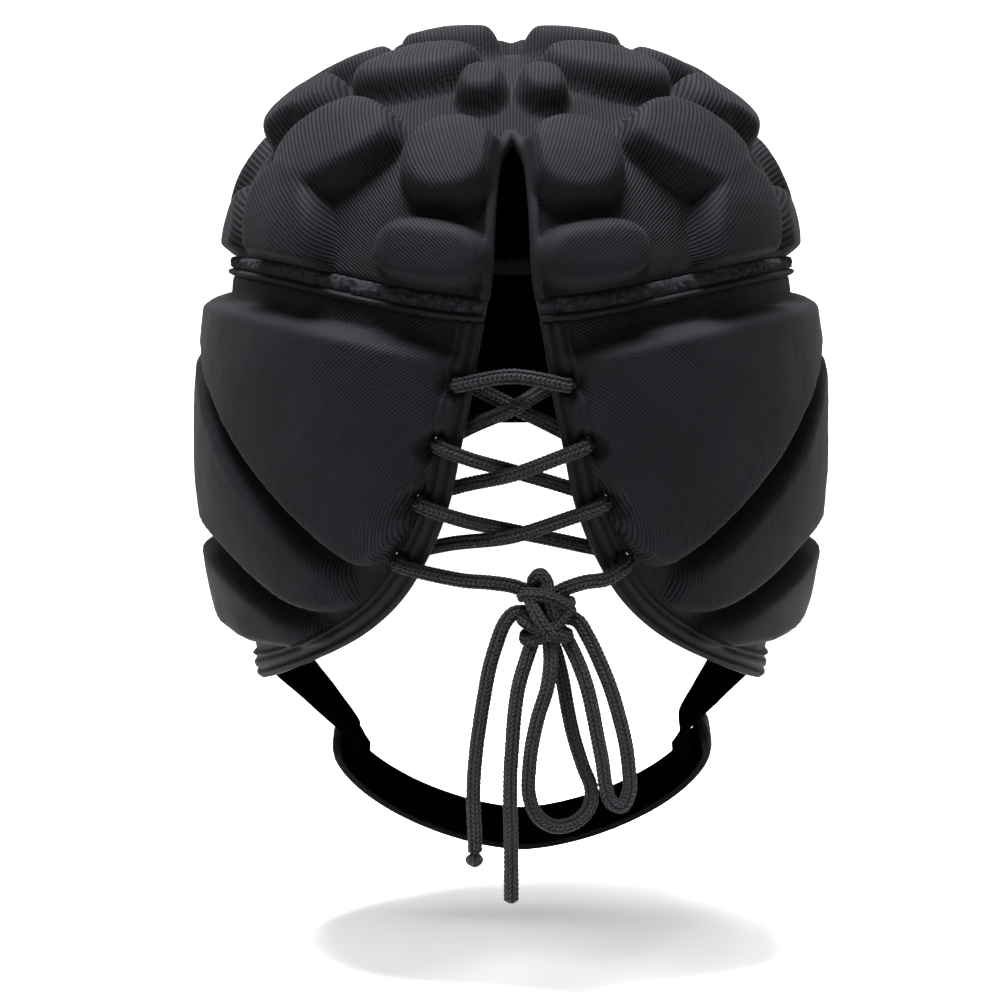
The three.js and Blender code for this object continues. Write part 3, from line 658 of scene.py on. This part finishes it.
def laceMaterial():
    material, tree, shader = newMaterial("plaitedLace", 0.6, 0.003, 0.05)
    cord = tree.nodes.new("ShaderNodeGroup")
    cord.node_tree = plaits
    tree.links.new(placeNode(tree, "UV", 1), cord.inputs["Place"])
    # painted shade: the cord is coloured near-black in the grooves between plaits and lighter on the plaits
    tree.links.new(colourBetween(tree, cord.outputs["GrooveShade"], (0.0002, 0.0002, 0.0003), (0.0115, 0.011, 0.013)),
                   shader.inputs["Base Color"])
    bumped(tree, shader, cord.outputs["Height"], 1.0, 0.5)
    return material


cloth = clothMaterial("ribbedCloth", (0.0004, 0.0004, 0.0006), (0.0066, 0.0061, 0.0079), 0.86)
# near-black: partly the own colour of the inner cloth and webbing, partly painted shade for the strap's inner face
liningAndShade = plainKnit("liningAndShade", (0.0003, 0.0003, 0.0004), 0.15, 0)
binding = plainKnit("binding", (0.0022, 0.0021, 0.0027), 0.25, 0.04)
pile = pileMaterial()
laceFinish = laceMaterial()
print("materials made")

# cords
lace = {
    "diameter": 4, "sides": 40, "step": 0.28, "wales": 5, "stitch": 1.3, "slant": 1.9, "hole": 4.4,
    "holes": [(9.7, 1.265), (13.1, 1.4), (16.5, 1.53), (21.2, 1.665)],
    "crossings": [(1.318, 1), (1.465, -1), (1.603, 1)], "topBar": 1.245, "nearEdge": (0.6, 0.4),
    "knotCentre": (9.3, -92, -95), "knotCore": (5.4, 3.2, 6), "knotCord": 3.7,
    "knobDiameter": 5.2, "knobHeight": 3.4,
    # free cords, points chosen from the photograph
    "routes": {
        "lace_tail_left": [
            (0.75, -93.3, -94.8), (-2, -94.4, -97.4), (-4.6, -95, -104), (-6.3, -95, -110),
            (-7.6, -95, -117), (-8.8, -95, -124.5), (-9.8, -95, -132), (-10.5, -95, -140),
            (-10.6, -95, -148), (-10.3, -95, -154), (-10.2, -95, -158), (-10.2, -95, -161)],
        "lace_tail_right": [
            (6.2, -94.1, -101.1), (3.9, -95.8, -107.4), (1.8, -96.8, -114.5), (0.7, -97, -122),
            (0.1, -97.2, -130), (-0.4, -97.4, -138), (-0.5, -97.4, -146), (-0.3, -97.4, -154),
            (-0.2, -97.4, -162), (-0.2, -97.4, -168), (-0.2, -97.4, -174)],
        "lace_loop_left": [
            (10, -95.6, -101.3), (10.4, -97.6, -107.4), (9.4, -98.6, -115), (7.2, -98.6, -122),
            (5.5, -98.4, -129.5), (4.6, -98, -137), (4.6, -97, -144.5), (7, -95.6, -150.5),
            (11.6, -94, -153.4), (17, -92.4, -152.6), (21, -91.2, -148.8), (21.6, -90.6, -143.4),
            (19.4, -90.2, -137.4), (17, -90, -129.8), (15.2, -89.8, -121.8), (13.8, -89.6, -113.8),
            (12.2, -89.4, -107), (10.6, -89.8, -101.9)],
        "lace_loop_right": [
            (14.2, -92.7, -101), (17.4, -94.2, -107), (20.2, -95.4, -114.4), (21.9, -95.8, -121.4),
            (23.2, -96, -128.4), (24.6, -96, -135.4), (25.4, -96, -141.4), (27, -96, -146.4),
            (30, -96, -147.6), (32, -96, -143.6), (31.9, -96, -137.6), (31, -96, -130.6),
            (29.2, -95.8, -123), (27, -95.4, -115.6), (24, -94.4, -108.2), (20.6, -92.8, -101.2),
            (17.7, -91.7, -97)],
    },
}


def evenly(points, step):
    gaps = np.linalg.norm(np.diff(points, axis=0), axis=1)
    along = np.concatenate([[0], np.cumsum(gaps)])
    count = max(int(round(along[-1] / step)), 4)
    at = np.linspace(0, along[-1], count + 1)
    return np.stack([np.interp(at, along, points[:, k]) for k in range(3)], -1), at


def cordPiece(name, route, diameter=lace["diameter"]):
    # a grid rolled round a smooth line, its plaits in the surface
    line, at = evenly(throughPoints(route, 14), lace["step"])
    tangent = np.gradient(line, axis=0)
    tangent /= np.linalg.norm(tangent, axis=1, keepdims=True)
    side = np.cross(tangent[0], (0.3, 0.9, 0.2))
    sides = []
    for t in tangent:
        side = side - t * np.dot(side, t)
        side = side / np.linalg.norm(side)
        sides.append(side)
    sides = np.array(sides)
    ups = np.cross(tangent, sides)
    bm, u, along = newGrid(lace["sides"], len(line) - 1)
    j = np.rint(along * (len(line) - 1)).astype(int)
    wale = np.abs((u * lace["wales"]) % 1 - 0.5)
    phase = at[j] / lace["stitch"] + wale * lace["slant"]
    plait = np.abs(np.sin(phase * math.pi)) ** 0.6 * (1 - (wale * 2) ** 4)
    radius = diameter / 2 * (0.8 + 0.26 * plait)
    ends = np.minimum(at[j], at[-1] - at[j])
    radius = radius * np.sqrt(np.clip(ends / 0.8, 0.15, 1))
    angle = u * 2 * math.pi
    place = line[j] + (sides[j] * np.cos(angle)[:, None] + ups[j] * np.sin(angle)[:, None]) * radius[:, None]
    carried(bm, "cord", np.stack([u, at[j]], -1), place)
    closeUp(bm, 1e-7)
    return pieceFrom(bm, name, [laceFinish]), line, at[-1]


def intoKnot(spot):
    # a point of the same cord inside the knot, past where it comes out
    return tuple(np.array(spot) + (np.array(lace["knotCentre"]) - spot) * 0.55)


def heldRoute():
    # out over the top, then each strand crosses behind the far edge to the next hole
    radius, clearance, wall = lace["diameter"] / 2, head["clearance"], head["wall"]
    outLift, inLift = wall + radius + 3 * clearance, -radius - 3 * clearance
    turnShare, levelShare = lace["nearEdge"]

    def holePoints(hole, side, inward):
        spots = [lifted(side * hole[0], hole[1], lift) for lift in (inLift, wall / 2, outLift)]
        return spots[::-1] if inward else spots

    def edgePoint(hole, side, crossLevel, lift):
        level = hole[1] + (crossLevel - hole[1]) * levelShare
        return lifted(side * hole[0] * turnShare, level, lift)

    def strand(side):
        points = holePoints(lace["holes"][0], side, True)
        for i, (level, front) in enumerate(lace["crossings"]):
            near = side if i % 2 == 0 else -side
            points.append(edgePoint(lace["holes"][i], near, level, outLift if i > 0 else inLift))
            points.append(lifted(0, level, wall / 2 + side * front * (radius + clearance)))
            points.append(edgePoint(lace["holes"][i + 1], -near, level, inLift))
            points += holePoints(lace["holes"][i + 1], -near, False)
        return points

    leftEnd = [(7.5, -92, -90.5), (0.5, -92.6, -87.6), (-6, -92.5, -86.6), (-14, -91.5, -86)]
    rightEnd = [(26, -91.5, -85.6), (19.5, -92.5, -86.6), (13, -92.6, -89), (9.5, -92, -92)]
    return leftEnd + strand(1)[::-1] + [lifted(0, lace["topBar"], outLift)] + strand(-1) + rightEnd


def finishPiece(piece, slot, *nodes):
    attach(piece, "root")
    if nodes:
        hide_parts(*nodes)


# the bow's knot: wraps of the same cord, in millimetres from its centre
knotTurns = {
    "wrap": [(-6.6, 0.6, 4.4), (-5.2, -3.8, 5.4), (-0.6, -5.4, 5.2), (4.6, -4.2, 3), (6.4, 0.2, 0.4), (3.8, 3.4, -1),
             (-1, 4, 0), (-5.6, 2.2, 0.2), (-6.4, -1.8, -1.4), (-3.2, -5, -3.2), (1.6, -5.2, -4.8),
             (5.4, -2.8, -6), (5.6, 1.2, -5.6)],
    "under": [(6.6, 0.4, 4), (5.4, -3.2, 1.4), (3, -4.6, -2.4), (-0.6, -5.2, -5.6), (-4.4, -3.4, -7.2),
              (-5.6, 0.6, -6.4), (-2, 3, -4), (2.4, 2.6, -3.4)],
    "over": [(-3.8, 1.4, 7), (-4.6, -2.6, 5.4), (-3.6, -5.6, 2), (-1.6, -6.6, -1.6), (1, -5.8, -5.2),
             (2.6, -2.6, -7.4)],
    "top": [(0.4, 1.6, 0.4), (-2.4, -0.4, 5.4), (-3.5, -1.5, 9), (-1.7, -2.4, 10.8), (0, -2.8, 8.8), (0.6, -4.2, 5),
            (1.8, -4.8, 0.4), (2.8, -2.4, -3.4)],
}


def makeKnot():
    centre = np.array(lace["knotCentre"])
    parts = [cordPiece("lace_knot_" + key, np.array(points) + centre, lace["knotCord"])[0]
             for key, points in knotTurns.items()]
    bm = bmesh.new()
    bmesh.ops.create_uvsphere(bm, u_segments=24, v_segments=16, radius=mm)
    bmesh.ops.scale(bm, verts=bm.verts, vec=lace["knotCore"])
    bmesh.ops.translate(bm, verts=bm.verts, vec=Vector(centre) * mm)
    for part in parts:
        bm.from_mesh(part.data)
        bpy.data.objects.remove(part)
    return pieceFrom(bm, "bow_knot", [laceFinish], False)


def makeTailKnob():
    # the left tail's end, sealed into a small flared knob
    end = Vector(lace["routes"]["lace_tail_left"][-1])
    height, radius = lace["knobHeight"], lace["knobDiameter"] / 2
    bm = bmesh.new()
    bmesh.ops.create_uvsphere(bm, u_segments=20, v_segments=12, radius=1)
    for vert in bm.verts:
        pinch = 1 - 0.35 * max(0.0, vert.co.z)
        dent = 1 + 0.16 * noise.noise(vert.co * 1.7)
        vert.co.x *= radius * pinch * dent
        vert.co.y *= radius * 0.8 * pinch * dent
        vert.co.z *= height * 0.62 * dent
    bmesh.ops.translate(bm, verts=bm.verts, vec=end + Vector((0, 0, -head["clearance"] - height / 2 + 0.7)))
    bmesh.ops.scale(bm, verts=bm.verts, vec=(mm, mm, mm))
    layer = bm.loops.layers.uv.new("cord")
    for face in bm.faces:
        for loop in face.loops:
            loop[layer].uv = (loop.vert.co.x * 80, loop.vert.co.z * 1000)
    return pieceFrom(bm, "lace_end_knob", [laceFinish])


def makeCords():
    knot = makeKnot()
    finishPiece(knot, "lace_cord", "lace_knot")
    knob = makeTailKnob()
    finishPiece(knob, "lace_cord", "lace_end_left")
    facts = {
        "lace_tail_left": ("tail_left", "fitting", [knob, knot]),
        "lace_tail_right": ("tail_right", "bare", []),
        "lace_loop_left": ("bow_loop_left", "object", []),
        "lace_loop_right": ("bow_loop_right", "object", []),
    }
    for node, (name, farEnd, onIt) in facts.items():
        route = lace["routes"][node]
        route = [intoKnot(route[0])] + route + ([intoKnot(route[-1])] if farEnd == "object" else [])
        piece, line, length = cordPiece(name, route)
        finishPiece(piece, "lace_cord", node)
        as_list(onIt)
        print("cord", name, round(length, 1), "mm")
    piece, line, length = cordPiece("lacing", heldRoute())
    finishPiece(piece, "lace_cord", "lace_lacing")
    print("lacing", round(length, 1), "mm")


makeCords()


# crown, panels and brow
crownSet = {"columns": 430, "rows": 104, "hem": 2.8, "stitches": [], "fill": 0.9, "vent": (57, 0.7, 13, 17)}
sideSet = {
    "columns": 220, "rows": 124, "hem": 7, "stitches": [2.4, 5.6], "fill": 0.85,
    "ribCentre": (5, 79), "ear": (91.3, 1.4545, 26, 38),
}
browSet = {"columns": 124, "rows": 58, "depth": 0.43, "fill": 0.85}
hemSet = {"fold": 1.5, "turned": 0.9, "groove": 1.3, "grooveWidth": 0.6}
perDegree = 1.55  # millimetres of cloth to a degree of turn, at the panels


def crownPlace(u, v):
    def edge(turn):
        return seamLevel(turn) - bandShare + gapShare
    u = u - 0.09 * np.sin(2 * math.pi * u)
    level = v * edge(u * 360)
    for _ in range(3):
        gap = gapTurn(level)
        turn = gap + u * (360 - 2 * gap)
        level = v * edge(turn)
    return turn, level


def hemLift(distance, facts):
    # a folded hem: raised by its fold, with sunk lines of stitches
    fold = np.clip((facts["hem"] + 0.4 - distance) / hemSet["turned"], 0, 1)
    lift = hemSet["fold"] * fold * fold * (3 - 2 * fold)
    for at in facts["stitches"]:
        lift = lift - hemSet["groove"] * np.exp(-((distance - at) / hemSet["grooveWidth"]) ** 2)
    return lift


def crownUv(turn, level):
    # ribs run down over the crown and lean towards the slit
    x, y = flatPlace(turn, level)
    lean = 1.25 * np.clip(level - 0.6, 0, 1) ** 2 * np.clip(-y / np.maximum(level, 0.01), 0, 1) ** 2
    return np.stack([x * (1.34 - 0.53 * level) + np.sign(x) * lean, -y], -1)


def makeCrown():
    turn, level, width, height = crownSet["vent"]
    holes = [(side * turn, level, width, height) for side in (-1, 1)]
    crown = clothShell("padded_crown", crownSet, crownPlace, padRelief(crownPads), crownUv, holes)
    finishPiece(crown, "ribbed_cloth", "crown")


def panelPlace(side):
    def place(u, v):
        u = u * (0.45 + 0.55 * u)
        level = 1.03 + v * 0.97
        for _ in range(4):
            gap, front = gapTurn(level), frontTurn(level)
            turn = gap + u * (front - gap)
            level = seamLevel(turn) + bandShare - gapShare
            level = level + v * (2 - level)
        return side * turn, level
    return place


def panelUv(turn, level):
    # ribs curve round a place beside the lacing
    across, down = np.abs(turn) * perDegree + sideSet["ribCentre"][0], (level - 1) * head["skirt"]
    reach = np.hypot(across, down - sideSet["ribCentre"][1])
    return np.stack([reach, down], -1) / 100


def makePanels():
    for side, word in ((-1, "left"), (1, "right")):
        holes = [(side * turn, level, lace["hole"], lace["hole"]) for turn, level in lace["holes"]]
        holes.append((side * sideSet["ear"][0], *sideSet["ear"][1:]))
        panel = clothShell("padded_side_" + word, sideSet, panelPlace(side), sideRelief, panelUv, holes)
        finishPiece(panel, "ribbed_cloth", "side_panel_" + word)
        print("side panel", word)


def browPlace(u, v):
    level = 1.03 + v * browSet["depth"]
    joint = opening["faceWidth"] / 2 - opening["browInset"] + head["clearance"]
    x = (u * 2 - 1) * joint
    bottom = 1 - np.interp(np.abs(x), faceEdge[::-1, 0][:30], faceEdge[::-1, 1][:30]) / head["skirt"]
    for _ in range(3):
        turn = 180 - np.sign(x) * turnAt(np.abs(x), level)
        top = seamLevel(turn) + bandShare - gapShare
        level = top + v * (bottom - top)
    return turn, level


def browUv(turn, level):
    return np.stack([(turn % 360) * perDegree, (level - 1) * head["skirt"]], -1) / 100


def makeBrow():
    brow = clothShell("padded_brow", browSet, browPlace, padRelief(browPads), browUv)
    finishPiece(brow, "ribbed_cloth", "brow_panel")


makeCrown()
print("crown made")
makePanels()
makeBrow()
print("panels made")

# seam band
bandSet = {
    "columns": 360, "end": 180.1, "pileShare": 0.68,
    # section: share of the width, lift
    "section": [(0.02, 0.4), (-0.04, 1.8), (-0.02, 3), (0.08, 3.6), (0.3, 3.9), (0.56, 3.7), (0.66, 3.2), (0.7, 3.5),
                (0.74, 4.2), (0.82, 4.6), (0.92, 4.4), (0.99, 3.7), (1.04, 3), (1.04, 1.4), (0.97, 0.3), (0.5, 0)],
}


def makeBands():
    section = np.array(bandSet["section"] + bandSet["section"][:1])
    closed = throughPoints(section, 3)
    around = len(closed) - 1
    for side, word in ((-1, "left"), (1, "right")):
        bm, u, along = newGrid(bandSet["columns"], around)
        j = np.rint(along * around).astype(int)
        at, lift = closed[j, 0], closed[j, 1]
        first = gapTurn(seamLevel(0.0) - bandShare + at * 2 * bandShare) + 0.2
        turn = first + u * (bandSet["end"] - first)
        level = seamLevel(turn) - bandShare + at * 2 * bandShare
        base, out = headFrame(side * turn, level)
        tuft = np.array([noise.noise(Vector(p) * 0.6) * 0.7 + noise.noise(Vector(p) * 1.3) * 0.35 for p in base])
        lift = lift + np.where((at < 0.65) & (lift > 2.5), tuft, tuft * 0.1)
        carried(bm, "cloth", np.stack([turn * 0.0155, at * 0.06], -1), base + out * lift[:, None],
                lambda corners: int(np.mean(at[corners]) >= bandSet["pileShare"]))
        closeUp(bm, 1e-7)
        piece = pieceFrom(bm, "pile_band_" + word, [pile, binding])
        finishPiece(piece, "loop_pile", "seam_band_" + word)


makeBands()
print("bands made")

# chin strap and tabs
strap = {
    "width": 25, "thickness": 5, "drop": 61, "endDrop": 27.5, "forward": 72, "endForward": 50, "tilt": 19,
    "half": 57.5, "aside": 3.5, "power": 1.6, "leftTip": -92, "rightTip": 99, "columns": 300, "around": 48,
    "tabWidth": 20, "tabThickness": 2.6, "tabLap": 8, "tabTaper": 0.9, "tabFrom": 104, "tabTo": 126, "tabReach": 72,
    "tabColumns": 24, "tabStitch": 2.2, "stitch": 3, "tipRound": 7,
}
acrossStrap = np.array([0, math.cos(math.radians(strap["tilt"])), math.sin(math.radians(strap["tilt"]))])


def strapMiddle(angle):
    s, c = np.sin(np.radians(angle)), np.cos(np.radians(angle))
    ring = (np.abs(s) ** strap["power"] + np.abs(c) ** strap["power"]) ** (-1 / strap["power"])
    y = strap["endForward"] + (strap["forward"] - strap["endForward"]) * c * ring
    drop = strap["endDrop"] + (strap["drop"] - strap["endDrop"]) * c * ring
    return np.stack([strap["aside"] + strap["half"] * s * ring, y, -head["skirt"] - drop], -1)


def strapFrame(angle):
    along = strapMiddle(angle + 1) - strapMiddle(angle - 1)
    out = np.cross(acrossStrap, along)
    return strapMiddle(angle), out / np.linalg.norm(out, axis=-1, keepdims=True)


def makeStrap():
    bm, u, along = newGrid(strap["columns"], strap["around"])
    angle = strap["leftTip"] + u * (strap["rightTip"] - strap["leftTip"])
    turn = along * 2 * math.pi
    middle, out = strapFrame(angle)
    c, s = np.cos(turn), np.sin(turn)
    across = np.sign(c) * np.abs(c) ** 0.55 * strap["width"] / 2
    thick = np.sign(s) * np.abs(s) ** 0.6 * strap["thickness"] / 2
    edge = strap["width"] / 2 - np.abs(across)
    thick = thick * (1 - 0.3 * np.exp(-((edge - strap["stitch"]) / 0.7) ** 2))
    toEnd = np.minimum(angle - strap["leftTip"], strap["rightTip"] - angle) * 1.05
    tip = np.sqrt(np.clip(1 - np.clip(1 - toEnd / strap["tipRound"], 0, 1) ** 2, 0.02, 1))
    place = middle + acrossStrap * (across * tip)[:, None] + out * (thick * np.sqrt(tip))[:, None]
    # painted shade: the strap's inner face takes the near-black material in place of the shade on it, and its outer
    # face the lighter binding
    carried(bm, "cloth", np.stack([angle, across], -1) * 0.01, place,
            lambda corners: int(np.mean(thick[corners]) <= -0.6))
    closeUp(bm, 1e-6)
    piece = pieceFrom(bm, "padded_strap", [binding, liningAndShade])
    finishPiece(piece, "ribbed_cloth", "chin_strap")


def tabRings(side):
    lift = head["wall"] + 2 * head["clearance"] + strap["tabThickness"] / 2
    shares = np.linspace(0, 1, 5)
    turns = strap["tabFrom"] + (strap["tabTo"] - strap["tabFrom"]) * shares
    rings = []
    for level in (2 - strap["tabLap"] / head["skirt"], 2.0):
        base, out = headFrame(turns, level)
        rings.append((base + out * lift, out))
    if side < 0:
        rings = [(p * (-1, 1, 1), o * (-1, 1, 1)) for p, o in rings]
    tip = strap["rightTip"] if side > 0 else -strap["leftTip"]
    low = []
    for share in (0, 0.35, 0.7, 1):
        middle, out = strapFrame(side * (tip + 2 + (strap["tabReach"] - tip - 2) * share))
        inside = middle - out * ((strap["thickness"] + strap["tabThickness"]) / 2 + 3 * head["clearance"])
        offsets = (shares - 0.5)[:, None] * acrossStrap * strap["tabWidth"] * strap["tabTaper"]
        low.append((inside + offsets, np.repeat(out[None], 5, 0)))
    middle = ((rings[1][0] + low[0][0]) / 2, rings[1][1] + low[0][1])
    return rings + [middle] + low


def makeTabs():
    for side, word in ((-1, "left"), (1, "right")):
        rings = tabRings(side)
        points = throughPoints(np.array([r[0].ravel() for r in rings]), 10).reshape(-1, 5, 3)
        outs = throughPoints(np.array([r[1].ravel() for r in rings]), 10).reshape(-1, 5, 3)
        rows = len(points) - 1
        bm = newGrid(strap["tabColumns"], rows)[0]
        doubled(bm)
        co = spotsOf(bm)
        u, j = (co[:, 0] + 1) / 2, np.rint((co[:, 1] + 1) / 2 * rows).astype(int)
        place, out = [np.stack([[np.interp(a, np.linspace(0, 1, 5), table[k, :, axis]) for a, k in zip(u, j)]
                                for axis in range(3)], -1) for table in (points, outs)]
        out /= np.linalg.norm(out, axis=1, keepdims=True)
        edge = np.minimum(u, 1 - u) * strap["tabWidth"]
        half = strap["tabThickness"] / 2 * np.sqrt(1 - np.clip(1 - edge / 1.2, 0, 0.98) ** 2)
        half = half - 0.3 * np.exp(-((edge - strap["tabStitch"]) / 0.5) ** 2)
        half = half * (0.35 + 0.65 * np.clip((rows - j) / 14, 0, 1))
        place = place + out * (np.where(co[:, 2] > 0.5, 1, -1) * half)[:, None]
        carried(bm, "cloth", np.stack([u * 0.2, j * 0.008], -1), place)
        bmesh.ops.recalc_face_normals(bm, faces=bm.faces)
        piece = pieceFrom(bm, "chin_webbing_" + word, [liningAndShade])
        finishPiece(piece, "ribbed_cloth", "chin_tab_" + word)


makeStrap()
makeTabs()
print("strap made")


# floor and light, metres
stageSet = {"floor": -0.207, "colour": (0.9, 0.9, 0.9), "sky": 1.02}


def makeStage():
    bm = newGrid(1, 1)[0]
    for vert in bm.verts:
        vert.co = (vert.co.x * 8, -6 if vert.co.y < 0 else 5, stageSet["floor"])
    far = [e for e in bm.edges if all(v.co.y > 4 for v in e.verts)]
    wall = bmesh.ops.extrude_edge_only(bm, edges=far)["geom"]
    bmesh.ops.translate(bm, verts=[v for v in wall if isinstance(v, bmesh.types.BMVert)], vec=(0, 0, 8))
    bmesh.ops.bevel(bm, geom=far, offset=2.5, segments=16, profile=0.5, affect="EDGES", material=-1)
    bmesh.ops.recalc_face_normals(bm, faces=bm.faces)
    material, _, shader = newMaterial("paleFloor", 0.9, 0)
    shader.inputs["Base Color"].default_value = (*stageSet["colour"], 1)
    floor = pieceFrom(bm, "floor", [material])


lightSet = {
    "above": {"at": (-0.1, -0.2, 0.95), "size": 0.5, "power": 13.5, "spread": 50},
    "left": {"at": (-1.3, -0.6, 0.3), "size": 0.6, "power": 1},
    "right": {"at": (1.3, -0.5, 0.4), "size": 0.6, "power": 1},
    "wall": {"at": (0, 1.8, 1.9), "size": 2, "power": 25, "aim": (0, 5, 0.6), "spread": 120},
}
daylight = {"tilt": (7, 0, 0), "softness": 24, "power": 2.3}


def makeLights():
    middle = Vector((0, 0, -0.05))
    for name, facts in lightSet.items():
        data = bpy.data.lights.new(name, "AREA")
        data.size = facts["size"]
        data.energy = facts["power"]
        data.spread = math.radians(facts.get("spread", 180))
        lamp = bpy.data.objects.new(name, data)
        bpy.context.collection.objects.link(lamp)
        lamp.location = facts["at"]
        aim = Vector(facts.get("aim", middle)) - lamp.location
        lamp.rotation_euler = aim.to_track_quat("-Z", "Y").to_euler()
    data = bpy.data.lights.new("daylight", "SUN")
    data.angle = math.radians(daylight["softness"])
    data.energy = daylight["power"]
    lamp = bpy.data.objects.new("daylight", data)
    bpy.context.collection.objects.link(lamp)
    lamp.rotation_euler = [math.radians(a) for a in daylight["tilt"]]
    world = bpy.data.worlds.new("studio")
    world.use_nodes = True
    sky = world.node_tree.nodes["Background"].inputs
    sky["Color"].default_value = (1, 1, 1, 1)
    sky["Strength"].default_value = stageSet["sky"]
    bpy.context.scene.world = world


makeStage()
makeLights()
bpy.context.scene.view_settings.view_transform = "Standard"
print("stage made")
